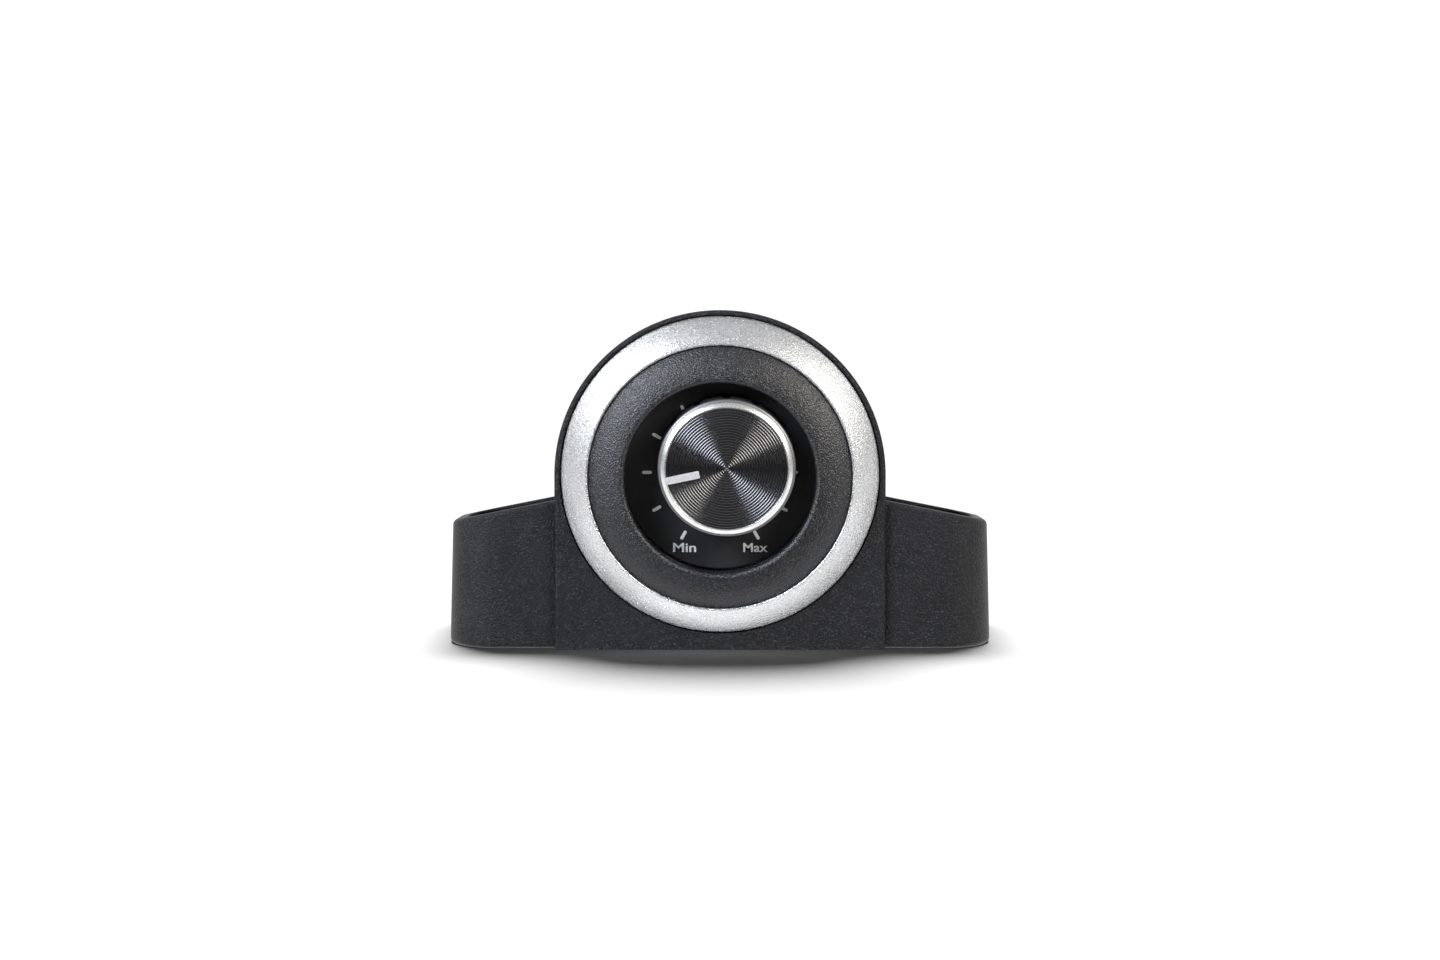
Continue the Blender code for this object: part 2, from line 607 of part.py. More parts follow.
def build_base(plastic, steel):
    near, far = FRONT_WALL + GAP, CAVITY_END - GAP
    halves = [ARCH_RADIUS - SIDE_TAPER * depth - POD_WALL - GAP for depth in (near, far)]
    corners = [(-halves[0], near), (halves[0], near), (halves[1], far), (-halves[1], far)]
    rings = [[front_point(x, depth, z) for x, depth in corners] for z in (0.0, BASE_THICKNESS)]
    base = loft("base_plate", rings, plastic)
    for index, (x, depth) in enumerate(screw_spots(), 1):
        y = FRONT_Y + depth
        boolean(base, cylinder(f"base_hole_{index}", 1.0 * MM, (x, y, -1 * MM), (x, y, 3 * MM),
                               sides=12))
        boolean(base, cylinder(f"base_sink_{index}", 1.9 * MM, (x, y, -1 * MM), (x, y, 1.3 * MM),
                               sides=16))
        turned(f"base_screw_{index}", [
            (0.0, 8.0 * MM), (0.7 * MM, 7.4 * MM), (0.7 * MM, 1.0 * MM), (1.6 * MM, 1.0 * MM),
            (1.6 * MM, 0.2 * MM), (0.0, 0.2 * MM),
        ], (x, y, 0.0), steel, steps=12, upright=True)


def main():
    black_grain = new_material("black textured plastic", (0.045, 0.045, 0.05), 0.55)
    bezel_black = new_material("black bezel plastic", (0.055, 0.055, 0.06), 0.5)
    plate_black = new_material("black dial plate", (0.015, 0.015, 0.017), 0.4)
    silver = new_material("silver trim", (0.8, 0.81, 0.82), 0.35, 0.9)
    anodised = new_material("black anodised aluminium", (0.04, 0.04, 0.045), 0.3, 0.9)
    white = new_material("white index", (0.85, 0.86, 0.88), 0.4)
    nylon = new_material("black nylon", (0.02, 0.02, 0.02), 0.6)
    steel = new_material("zinc plated steel", (0.6, 0.6, 0.62), 0.35, 1.0)
    brass = new_material("nickelled brass", (0.7, 0.66, 0.55), 0.3, 1.0)
    phenolic = new_material("phenolic board", (0.28, 0.14, 0.06), 0.6)
    green = new_material("circuit board", (0.02, 0.16, 0.07), 0.45)
    epoxy = new_material("chip epoxy", (0.02, 0.02, 0.02), 0.5)
    sleeve = new_material("capacitor can", (0.55, 0.56, 0.6), 0.3, 0.9)
    tin = new_material("tinned pin", (0.8, 0.75, 0.5), 0.25, 1.0)

    build_housing(black_grain)
    build_base(black_grain, steel)
    build_trim(silver, bezel_black, plate_black, steel)
    build_knob(anodised, nylon, white, steel)
    build_potentiometer(steel, brass, phenolic)
    build_electronics(green, epoxy, sleeve, tin, nylon, steel)


main()
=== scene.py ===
"""Looks of the brake controller head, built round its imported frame.

X runs left to right, Y from front to back, Z up, in metres. Depths are measured backwards
from the front face of the arch. Turned pieces use (radius, height) profiles, where height
points forwards, out of the dial.
"""

import json
import math

import bmesh
import bpy
from mathutils import Matrix, Vector


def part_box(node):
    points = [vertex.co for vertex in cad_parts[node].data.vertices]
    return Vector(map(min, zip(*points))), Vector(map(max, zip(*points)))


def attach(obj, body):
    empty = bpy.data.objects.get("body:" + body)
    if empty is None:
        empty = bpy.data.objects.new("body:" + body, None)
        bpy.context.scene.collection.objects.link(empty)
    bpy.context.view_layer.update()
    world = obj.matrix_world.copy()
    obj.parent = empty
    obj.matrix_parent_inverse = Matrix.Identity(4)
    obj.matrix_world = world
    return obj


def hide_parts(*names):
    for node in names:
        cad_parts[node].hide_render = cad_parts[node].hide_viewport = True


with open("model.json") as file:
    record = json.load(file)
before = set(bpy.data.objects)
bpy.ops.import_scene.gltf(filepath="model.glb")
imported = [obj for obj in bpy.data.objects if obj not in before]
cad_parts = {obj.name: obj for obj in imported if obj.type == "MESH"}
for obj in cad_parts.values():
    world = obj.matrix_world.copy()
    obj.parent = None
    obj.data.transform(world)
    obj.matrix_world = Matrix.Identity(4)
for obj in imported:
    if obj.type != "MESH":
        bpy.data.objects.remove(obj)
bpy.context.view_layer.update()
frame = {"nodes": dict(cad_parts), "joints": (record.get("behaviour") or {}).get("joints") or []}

MM = 0.001

# Places read from the frame
HOUSING_LOW, HOUSING_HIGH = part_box("housing_shell")
RING_LOW, RING_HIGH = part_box("silver_ring")
BEZEL_LOW, BEZEL_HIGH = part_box("dial_bezel")
CAP_LOW, CAP_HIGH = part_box("knob_cap")
PLATE_LOW, PLATE_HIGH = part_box("dial_plate")
SOCKET_LOW, SOCKET_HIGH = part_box("cable_socket")
FRONT_Y = HOUSING_LOW.y
DIAL_Z = (RING_LOW.z + RING_HIGH.z) / 2
DIAL_CENTRE = Vector((0, 0, DIAL_Z))
KNOB_AXIS = Vector(frame["joints"][0]["pos_m"])

# Arched pod
ARCH_RADIUS = 20.65 * MM
ARCH_Z = DIAL_Z - 0.1 * MM
POD_DEPTH = HOUSING_HIGH.y - FRONT_Y
POD_STATIONS = (4, 9, 14, 19, 24)   # depths of the rings between the fillets, mm
SIDE_TAPER = 0.12                   # radius lost for each unit of depth
CENTRE_DROP = 0.06                  # fall of the arch's centre for each unit of depth
FRONT_FILLET = 0.45 * MM
REAR_FILLET = 5.0 * MM
POD_WALL = 1.9 * MM
FRONT_WALL = 2.8 * MM
CAVITY_END = 28.2 * MM
ARCH_STEPS = 96
CUT_PAST = 1 * MM                   # how far a tool reaches below the base

# Wings
WING_HALF_LENGTH = HOUSING_HIGH.x
WING_FRONT = 0.92 * MM
WING_REAR = 28.5 * MM
WING_CORNER = 6.1 * MM
WING_LEAN = math.tan(math.radians(1.5)) * (15 * MM)     # inward draft over the wall's mean height
RIM_Z = 18.65 * MM
RIM_OUTWARD_SLOPE = 0.200
RIM_REAR_SLOPE = 0.100
WING_WALL = 1.5 * MM
WING_FLOOR = 2.2 * MM
WING_EDGE_ROUND = 0.6 * MM
RIM_INNER_ROUND = 0.3 * MM
POCKET_FILLET = 0.8 * MM
MOUNT_HOLE = Vector((27.5, 15.0)) * MM      # distance from the middle, depth
MOUNT_HOLE_RADIUS = 2.25 * MM
SOCKET_CLEARANCE = 0.3 * MM
SOCKET_CUT = (26 * MM, 33 * MM)             # depths between which the rear wall is opened

# Dial
RING_OUTER = (RING_HIGH.x - RING_LOW.x) / 2
RING_INNER = 16.4 * MM
RING_RECESS = RING_OUTER + 0.21 * MM
RING_RECESS_DEPTH = 0.6 * MM
RING_LEDGE = 1.1 * MM               # height of the step under the bezel
RING_BULGE = 0.0784 * MM            # doming of the bevel, outwards and forwards
RING_ROUND = 0.2 * MM
RING_STEPS = 12
BEZEL_EDGE = (BEZEL_HIGH.x - BEZEL_LOW.x) / 2 + 0.12 * MM
BEZEL_CREST_HEIGHT = FRONT_Y - BEZEL_LOW.y
BEZEL_LIP = 0.6 * MM
BEZEL_TILT = (8.0, 36.0)            # slope of the face beside the lip and at the rim, degrees
BEZEL_STEPS = 20
BEZEL_BACK = 1.4 * MM
CUP_MOUTH = 11.8 * MM
CUP_INNER = 12.4 * MM
CUP_OUTER = 13.1 * MM
CUP_HOLE = CUP_OUTER + 0.3 * MM     # hole through the housing and the trim ring
CUP_THROAT = (1.2 * MM, 2.4 * MM)   # heights between which the wall closes to the mouth
CUP_FLOOR = (-3.4 * MM, -5.0 * MM)  # heights of the floor's front and back
SHAFT_HOLE_RADIUS = 4.0 * MM
TURN_STEPS = 256
PLATE_RADIUS = (PLATE_HIGH.x - PLATE_LOW.x) / 2
PLATE_HEIGHT = FRONT_Y - PLATE_LOW.y
PLATE_EDGE = 0.1 * MM
TICK_RING = (8.47 * MM, 9.72 * MM)
TICK_WIDTH = 0.4 * MM
TICK_ANGLES = range(-150, 151, 30)          # degrees clockwise from straight up
PRINT_THICKNESS = 0.02 * MM
WORD_CAP_HEIGHT = 1.16 * MM
WORD_BASELINE = -10.02 * MM
WORD_BOLDNESS = 0.018
WORDS = (("Min", -4.42 * MM, 2.87 * MM), ("Max", 4.42 * MM, 3.05 * MM))     # middle, width

# Knob
KNOB_CENTRE = Vector((KNOB_AXIS.x, 0, KNOB_AXIS.z))
KNOB_HEIGHT = FRONT_Y - CAP_LOW.y
KNOB_FOOT = FRONT_Y - CAP_HIGH.y
KNOB_SEAT = KNOB_HEIGHT - 0.3 * MM          # under the turned face
KNOB_SHOULDER = KNOB_HEIGHT - 0.62 * MM
KNOB_SKIRT_TOP = KNOB_HEIGHT - 1.25 * MM
KNOB_FACE_BACK = KNOB_HEIGHT - 1.2 * MM
KNOB_RADIUS = 8.55 * MM
KNOB_RIM_RADIUS = 8.22 * MM
KNOB_FACE_RADIUS = 7.54 * MM
KNOB_BORE = 7.3 * MM
KNOB_NOTCHES = 14
KNOB_NOTCH_RADIUS = 0.5 * MM
KNOB_NOTCH_SHARE = 0.62                     # depth of a notch as a share of its radius
KNOB_STEPS = 240
GROOVES = 23
GROOVE_SLOPE = math.radians(28)
GROOVE_SHARES = (0.09, 0.27, 0.45, 0.55, 0.73, 0.91)    # points across one groove
FACE_DROP = 0.02 * MM                       # turned face below the knob's top
POINTER_ANGLE = -102.0
POINTER_SPAN = (3.45 * MM, 7.74 * MM)
POINTER_WIDTH = 0.94 * MM
POINTER_CORNER = 0.16 * MM

# Studio: the world's brightness in each direction, as reflections see it
WORLD_FRONT = 0.08
WORLD_SIDE = 0.36
WORLD_BACK = 0.75
WORLD_TOP = 0.42
WORLD_FLOOR = 1.35
WORLD_FLOOR_FRONT = 0.12
WORLD_FILL = 0.15                   # even light that matt surfaces receive
FLOOR_HALF = 4.0                    # half of the floor's side
FLOOR_TONES = (0.34, 0.36)
BLUISH = (0.84, 0.9, 1.0)
WARM = (1.0, 0.95, 0.87)
SOFTBOXES = (                       # name, direction, distance, size, radiance, colour
    ("softbox_left", (-0.6, -0.63, 0.5), 0.6, 0.27, 12.0, BLUISH),
    ("strip_left", (-0.5, -0.86, 0.03), 0.7, 0.2, 7.0, BLUISH),
    ("softbox_right", (0.64, -0.63, 0.43), 0.6, 0.25, 9.3, WARM),
    ("side_left", (-0.8, -0.05, 0.6), 0.7, 0.42, 1.6, (0.95, 0.97, 1.0)),
    ("side_right", (0.84, -0.05, 0.54), 0.7, 0.38, 0.9, (1.0, 0.98, 0.95)),
    ("softbox_back", (0.1, 0.75, 0.75), 0.8, 0.5, 1.2, (1.0, 1.0, 1.0)),
)
MOULDINGS_LIGHT = "strip_left"      # lights the black mouldings only
OVERHEAD_ENERGY = 11.2
OVERHEAD_ANGLE = math.radians(38)
OVERHEAD_TILT = math.radians(-31)
CAMERA_DISTANCE = 0.7
CAMERA_ELEVATION = math.radians(7.0)
CAMERA_AIM_Z = 21.32 * MM
SENSOR_WIDTH = 36.0
FIELD_WIDTH = 178.8 * MM            # width seen at the front face of the arch


# ---------------------------------------------------------------- mesh helpers

SHARP_ANGLE = 35.0                  # edges steeper than this stay crisp, degrees


def link(obj):
    """Add an object to the scene."""
    bpy.context.scene.collection.objects.link(obj)
    return obj


def finish_mesh(name, bm, sharp=SHARP_ANGLE):
    """Turn a bmesh into a linked, smooth-shaded object."""
    bmesh.ops.recalc_face_normals(bm, faces=bm.faces)
    mesh = bpy.data.meshes.new(name)
    bm.to_mesh(mesh)
    bm.free()
    mesh.shade_smooth()
    mesh.set_sharp_from_angle(angle=math.radians(sharp))
    return link(bpy.data.objects.new(name, mesh))


def arc(centre, radii, start, end, count):
    """Points along an ellipse arc, in degrees, both ends included."""
    points = []
    for step in range(count + 1):
        angle = math.radians(start + (end - start) * step / count)
        points.append((centre[0] + radii[0] * math.cos(angle),
                       centre[1] + radii[1] * math.sin(angle)))
    return points


def loft(name, rings):
    """Closed solid through rings of equal point count, capped at both ends."""
    bm = bmesh.new()
    loops = [[bm.verts.new(point) for point in ring] for ring in rings]
    for near, far in zip(loops, loops[1:]):
        for index in range(len(near)):
            after = (index + 1) % len(near)
            bm.faces.new((near[index], near[after], far[after], far[index]))
    bm.faces.new(loops[0])
    bm.faces.new(loops[-1])
    return finish_mesh(name, bm)


def revolve(name, profile, centre, steps, dent=None, sharp=SHARP_ANGLE):
    """Turn a closed profile of (radius, height) about the forward axis through centre.

    dent(radius, height, angle) may return a changed radius, for notches round the side.
    """
    bm = bmesh.new()
    columns = []
    poles = {}
    for step in range(steps):
        angle = math.tau * step / steps
        column = []
        for index, (radius, height) in enumerate(profile):
            if radius == 0.0:
                if index not in poles:
                    poles[index] = bm.verts.new((centre.x, FRONT_Y - height, centre.z))
                column.append(poles[index])
                continue
            reach = dent(radius, height, angle) if dent else radius
            column.append(bm.verts.new((centre.x + reach * math.cos(angle), FRONT_Y - height,
                                        centre.z + reach * math.sin(angle))))
        columns.append(column)
    on_axis = profile[0][0] == 0.0 and profile[-1][0] == 0.0
    spans = len(profile) - 1 if on_axis else len(profile)
    for step in range(steps):
        here, there = columns[step], columns[(step + 1) % steps]
        for index in range(spans):
            after = (index + 1) % len(profile)
            corners = []
            for vert in (here[index], here[after], there[after], there[index]):
                if vert not in corners:
                    corners.append(vert)
            bm.faces.new(corners)
    return finish_mesh(name, bm, sharp)


def cylinder(name, radius, start, end, sides=64):
    """Solid cylinder between two points."""
    start, end = Vector(start), Vector(end)
    bm = bmesh.new()
    bmesh.ops.create_cone(bm, cap_ends=True, segments=sides, radius1=radius, radius2=radius,
                          depth=(end - start).length)
    turn = Vector((0, 0, 1)).rotation_difference(end - start).to_matrix().to_4x4()
    bm.transform(Matrix.Translation((start + end) / 2) @ turn)
    return finish_mesh(name, bm)


def box(name, low, high):
    """Solid box between two corners."""
    low, high = Vector(low), Vector(high)
    bm = bmesh.new()
    bmesh.ops.create_cube(bm, size=1.0, matrix=Matrix.Diagonal((*(high - low), 1.0)))
    bm.transform(Matrix.Translation((low + high) / 2))
    return finish_mesh(name, bm)


def at(x, depth, z):
    """World point at a depth behind the arch's front face."""
    return (x, FRONT_Y + depth, z)


def apply_booleans(target, steps):
    """Apply (operation, tool) booleans in order, then remove the tools."""
    for operation, tool in steps:
        modifier = target.modifiers.new(tool.name, "BOOLEAN")
        modifier.operation = operation
        modifier.solver = "EXACT"
        modifier.object = tool
    freeze(target)
    for _, tool in steps:
        bpy.data.objects.remove(tool, do_unlink=True)


def freeze(obj):
    """Replace a mesh by its evaluated form, with its modifiers applied."""
    graph = bpy.context.evaluated_depsgraph_get()
    mesh = bpy.data.meshes.new_from_object(obj.evaluated_get(graph))
    obj.modifiers.clear()
    obj.data = mesh
    mesh.shade_smooth()
    mesh.set_sharp_from_angle(angle=math.radians(SHARP_ANGLE))


def even_shading(obj):
    """Large flat faces keep their own normal beside small fillets."""
    weighted = obj.modifiers.new("even shading", "WEIGHTED_NORMAL")
    weighted.keep_sharp = True
    weighted.weight = 100


# ---------------------------------------------------------------- materials

class Shader:
    """A small wrapper that adds and wires shader nodes."""

    def __init__(self, name):
        self.material = bpy.data.materials.new(name)
        self.material.use_nodes = True
        self.tree = self.material.node_tree
        self.surface = self.tree.nodes["Principled BSDF"]
        coordinates = self.tree.nodes.new("ShaderNodeTexCoord")
        self.position = coordinates.outputs["Object"]

    def set(self, **values):
        """Set surface inputs, named with underscores for spaces."""
        for key, value in values.items():
            socket = self.surface.inputs[key.replace("_", " ")]
            socket.default_value = (*value, 1.0) if isinstance(value, tuple) else value
        return self

    def node(self, kind, **settings):
        """New node with its properties set."""
        node = self.tree.nodes.new(kind)
        for key, value in settings.items():
            setattr(node, key, value)
        return node

    def wire(self, source, target):
        self.tree.links.new(source, target)

    def noise(self, size, detail=2.0, roughness=0.5, vector=None):
        """Noise whose blobs are about size metres across."""
        node = self.node("ShaderNodeTexNoise")
        node.inputs["Scale"].default_value = 1.0 / size
        node.inputs["Detail"].default_value = detail
        node.inputs["Roughness"].default_value = roughness
        self.wire(vector or self.position, node.inputs["Vector"])
        return node.outputs["Fac"]

    def cells(self, size, output="Distance"):
        """Cells about size metres across: distance to their centre, or a colour for each."""
        node = self.node("ShaderNodeTexVoronoi")
        node.inputs["Scale"].default_value = 1.0 / size
        self.wire(self.position, node.inputs["Vector"])
        return node.outputs[output]

    def remap(self, source, low, high, out_low, out_high):
        """Linear change of range, held at both ends."""
        node = self.node("ShaderNodeMapRange")
        for key, value in zip(("From Min", "From Max", "To Min", "To Max"),
                              (low, high, out_low, out_high)):
            node.inputs[key].default_value = value
        self.wire(source, node.inputs["Value"])
        return node.outputs["Result"]

    def combine(self, first, second, operation="ADD"):
        """Arithmetic on two sockets, or on a socket and a number."""
        node = self.node("ShaderNodeMath", operation=operation)
        for socket, value in zip(node.inputs, (first, second)):
            if isinstance(value, (int, float)):
                socket.default_value = value
            else:
                self.wire(value, socket)
        return node.outputs[0]

    def blend(self, factor, first, second):
        """Colour between two colours, each given as a tuple or a socket."""
        node = self.node("ShaderNodeMix", data_type="RGBA")
        colours = [socket for socket in node.inputs if socket.type == "RGBA"]
        self.wire(factor, node.inputs["Factor"])
        for socket, colour in zip(colours, (first, second)):
            if isinstance(colour, tuple):
                socket.default_value = (*colour, 1.0)
            else:
                self.wire(colour, socket)
        return [socket for socket in node.outputs if socket.type == "RGBA"][0]

    def bump(self, height, depth, strength=1.0):
        """Relief of the given depth, in metres, from a height between 0 and 1."""
        node = self.node("ShaderNodeBump")
        node.inputs["Strength"].default_value = strength
        node.inputs["Distance"].default_value = depth
        self.wire(height, node.inputs["Height"])
        self.wire(node.outputs["Normal"], self.surface.inputs["Normal"])

    def feed(self, socket, source):
        """Wire a source into one of the surface's inputs."""
        self.wire(source, self.surface.inputs[socket])


def grained_plastic(name, dark, light, roughness, grain, depth, specular):
    """Black moulding with a fine pebbled spark-eroded grain; the lighter colour on the grain's
    peaks is a painted sparkle, mixed with faint random mottle.
    """
    shader = Shader(name).set(Specular_IOR_Level=specular)
    fine = shader.noise(grain, detail=1.5, roughness=0.6)
    pebbles = shader.remap(shader.cells(grain * 1.3), 0.0, 0.7, 1.0, 0.0)
    height = shader.combine(fine, shader.combine(pebbles, 0.4, "MULTIPLY"))
    # Painted sparkle: the lighter colour goes on the grain's highest peaks, where highlights would
    # catch.
    painted_sparkle = shader.remap(height, 0.72, 0.98, 0.0, 1.0)
    mottle = shader.remap(shader.noise(7 * MM, detail=3.0), 0.35, 0.65, 0.0, 0.12)
    shader.feed("Base Color", shader.blend(shader.combine(painted_sparkle, mottle), dark, light))
    shader.feed("Roughness", shader.remap(pebbles, 0.0, 1.0, roughness + 0.08, roughness - 0.06))
    shader.bump(height, depth)
    return shader.material


def flake_silver():
    """Metallic silver paint: bright flakes of slightly different tilt and tone."""
    shader = Shader("metallic silver paint").set(Metallic=0.92)
    flake = shader.cells(0.2 * MM, "Color")
    split = shader.node("ShaderNodeSeparateColor")
    shader.wire(flake, split.inputs[0])
    tone = shader.combine(split.outputs[0], shader.noise(0.3 * MM, detail=2.0))
    shader.feed("Base Color", shader.blend(shader.remap(tone, 0.5, 1.6, 0.0, 1.0),
                                           (0.74, 0.745, 0.76), (0.86, 0.865, 0.88)))
    shader.feed("Roughness", shader.remap(split.outputs[1], 0.0, 1.0, 0.24, 0.36))
    shader.bump(shader.combine(split.outputs[2], shader.noise(0.2 * MM)), 0.08 * MM)
    return shader.material


def satin_black(name, colour, roughness, speck=0.35 * MM):
    """Smooth moulded black with faint cloudiness and dust-fine relief."""
    shader = Shader(name).set(Specular_IOR_Level=0.35)
    cloud = shader.noise(4 * MM, detail=3.0)
    lighter = tuple(channel * 1.5 + 0.002 for channel in colour)
    shader.feed("Base Color", shader.blend(shader.remap(cloud, 0.35, 0.7, 0.0, 1.0),
                                           colour, lighter))
    shader.feed("Roughness", shader.remap(cloud, 0.3, 0.7, roughness - 0.05, roughness + 0.05))
    shader.bump(shader.noise(speck, detail=2.0), 0.008 * MM, 0.4)
    return shader.material


def metal(name, colour, roughness, streak=0.25 * MM, metallic=1.0):
    """Plated or cut metal with fine tooling marks."""
    shader = Shader(name).set(Metallic=metallic)
    grain = shader.noise(streak, detail=3.0)
    broad = shader.noise(streak * 12, detail=2.0)
    darker = tuple(channel * 0.82 for channel in colour)
    shader.feed("Base Color", shader.blend(shader.remap(broad, 0.3, 0.7, 0.0, 1.0), darker, colour))
    shader.feed("Roughness", shader.remap(grain, 0.3, 0.7, roughness - 0.06, roughness + 0.08))
    shader.bump(grain, 0.006 * MM, 0.4)
    return shader.material


def printed_paint(name, colour):
    """Pad-printed ink with slightly uneven cover."""
    shader = Shader(name).set(Specular_IOR_Level=0.3)
    cover = shader.noise(0.18 * MM, detail=3.0)
    thin = tuple(channel * 0.8 for channel in colour)
    shader.feed("Base Color", shader.blend(shader.remap(cover, 0.35, 0.6, 0.0, 1.0), thin, colour))
    shader.feed("Roughness", shader.remap(cover, 0.3, 0.7, 0.45, 0.6))
    shader.bump(cover, 0.006 * MM, 0.4)
    return shader.material


def board_laminate():
    """Green solder mask with traces just showing under it."""
    shader = Shader("circuit board laminate")
    scaled = shader.node("ShaderNodeVectorMath", operation="SNAP")
    scaled.inputs[1].default_value = (0.8 * MM, 0.8 * MM, 0.8 * MM)
    shader.wire(shader.position, scaled.inputs[0])
    trace = shader.noise(2.4 * MM, detail=0.0, vector=scaled.outputs[0])
    mask = shader.remap(trace, 0.5, 0.54, 0.0, 1.0)
    shader.feed("Base Color", shader.blend(mask, (0.012, 0.10, 0.045), (0.03, 0.2, 0.08)))
    shader.feed("Roughness", shader.remap(trace, 0.3, 0.7, 0.32, 0.45))
    shader.bump(mask, 0.03 * MM, 0.4)
    return shader.material


# The light tone of each grained black is a painted sparkle on the grain's peaks, mixed with faint
# random mottle.
HOUSING_BLACK = grained_plastic(
    "housing grained black", dark=(0.0028, 0.0028, 0.0042), light=(0.038, 0.038, 0.047),
    roughness=0.33, grain=0.2 * MM, depth=0.13 * MM, specular=0.3)
BEZEL_BLACK = grained_plastic(
    "bezel grained black", dark=(0.006, 0.006, 0.008), light=(0.055, 0.055, 0.066),
    roughness=0.27, grain=0.19 * MM, depth=0.08 * MM, specular=0.62)
SILVER = flake_silver()
PLATE_BLACK = satin_black("dial plate black", (0.018, 0.018, 0.021), 0.5)
SOCKET_BLACK = satin_black("socket nylon black", (0.012, 0.012, 0.013), 0.55)
EPOXY = satin_black("chip epoxy", (0.015, 0.015, 0.016), 0.5)
ANODISED = metal("black anodised aluminium", (0.112, 0.112, 0.119), 0.16, 0.3 * MM)
SKIRT_BLACK = metal("satin black skirt", (0.09, 0.09, 0.094), 0.5, 0.15 * MM, 0.7)
# The shoulder's lighter grey is a painted sheen, standing in for light on the knob's side near its
# face.
SHOULDER_PAINTED_SHEEN = metal("dark satin shoulder", (0.24, 0.24, 0.25), 0.42, 0.15 * MM, 0.8)
CUT_ALUMINIUM = metal("diamond cut aluminium", (0.92, 0.92, 0.93), 0.3, 0.15 * MM)
ZINC = metal("zinc plated steel", (0.62, 0.63, 0.66), 0.34)
NICKEL = metal("nickelled brass", (0.72, 0.68, 0.6), 0.28)
TIN = metal("tinned contact", (0.82, 0.78, 0.62), 0.25, 0.1 * MM)
CAN = metal("capacitor can", (0.6, 0.62, 0.68), 0.3)
PHENOLIC = satin_black("phenolic laminate", (0.2, 0.09, 0.04), 0.6)
WHITE_INK = printed_paint("dial print", (0.9, 0.9, 0.92))
POINTER_WHITE = printed_paint("index white", (0.5, 0.5, 0.52))
LAMINATE = board_laminate()


def dress(obj, material, slot, body, *nodes):
    """Give a finished piece its material and body, and hide the nodes it stands for."""
    obj.data.materials.clear()
    obj.data.materials.append(material)
    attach(obj, body)
    if nodes:
        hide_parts(*nodes)
    return obj


# ---------------------------------------------------------------- housing

def arch_ring(depth, inset, foot=0.0):
    """Arch section at a depth, drawn in by inset, with its legs ending at foot."""
    radius = ARCH_RADIUS - SIDE_TAPER * depth - inset
    centre = (0.0, ARCH_Z - CENTRE_DROP * depth)
    half = arc(centre, (radius, radius), 0.0, 180.0, ARCH_STEPS)
    outline = [(radius, foot)] + half + [(-radius, foot)]
    return [at(x, depth, z) for x, z in outline]


def pod_solid():
    """Arched pod, tapering backwards, with a small front fillet and a large rear one."""
    front = arc((FRONT_FILLET, 0.0), (FRONT_FILLET, FRONT_FILLET), 180.0, 90.0, 5)
    rings = [arch_ring(depth, FRONT_FILLET - rise) for depth, rise in front]
    rings += [arch_ring(depth * MM, 0.0) for depth in POD_STATIONS]
    rear = arc((POD_DEPTH - REAR_FILLET, 0.0), (REAR_FILLET, REAR_FILLET), 90.0, 0.0, 12)
    rings += [arch_ring(depth, REAR_FILLET - rise) for depth, rise in rear]
    return loft("pod_solid", rings)


def rim_height(x, depth):
    """Top of the wings' rim, which falls outwards and backwards."""
    outward = RIM_OUTWARD_SLOPE * (abs(x) - ARCH_RADIUS)
    return RIM_Z - outward - RIM_REAR_SLOPE * (depth - WING_FRONT)


def wing_ring(inset, height):
    """Plan outline drawn in by inset. height(x, depth) gives each point's Z."""
    half = WING_HALF_LENGTH - inset
    near, far = WING_FRONT + inset, WING_REAR - inset
    radius = WING_CORNER - inset
    plan = []
    left, right, front, rear = radius - half, half - radius, near + radius, far - radius
    for x, depth, start in ((right, rear, 0), (left, rear, 90), (left, front, 180),
                            (right, front, 270)):
        plan += arc((x, depth), (radius, radius), start, start + 90.0, 20)
        if start in (0, 180):
            plan.append((0.0, far if start == 0 else near))
    return [at(x, depth, height(x, depth)) for x, depth in plan]


def wing_tray():
    """Both wings in one moulding: outer wall, rounded rim, pocket wall and pocket floor."""
    rings = []
    for inset, z in arc((WING_EDGE_ROUND, WING_EDGE_ROUND), (WING_EDGE_ROUND, WING_EDGE_ROUND),
                        270.0, 180.0, 4):
        rings.append(wing_ring(inset, lambda x, depth, z=z: z))
    round_centre = (WING_LEAN + WING_EDGE_ROUND, -WING_EDGE_ROUND)
    for inset, drop in arc(round_centre, (WING_EDGE_ROUND, WING_EDGE_ROUND), 180.0, 90.0, 5):
        rings.append(wing_ring(inset, lambda x, depth, drop=drop: rim_height(x, depth) + drop))
    round_centre = (WING_LEAN + WING_WALL - RIM_INNER_ROUND, -RIM_INNER_ROUND)
    for inset, drop in arc(round_centre, (RIM_INNER_ROUND, RIM_INNER_ROUND), 90.0, 0.0, 4):
        rings.append(wing_ring(inset, lambda x, depth, drop=drop: rim_height(x, depth) + drop))
    floor_centre = (WING_LEAN + WING_WALL + POCKET_FILLET, WING_FLOOR + POCKET_FILLET)
    for inset, z in arc(floor_centre, (POCKET_FILLET, POCKET_FILLET), 180.0, 270.0, 4):
        rings.append(wing_ring(inset, lambda x, depth, z=z: z))
    return loft("housing_moulding", rings)


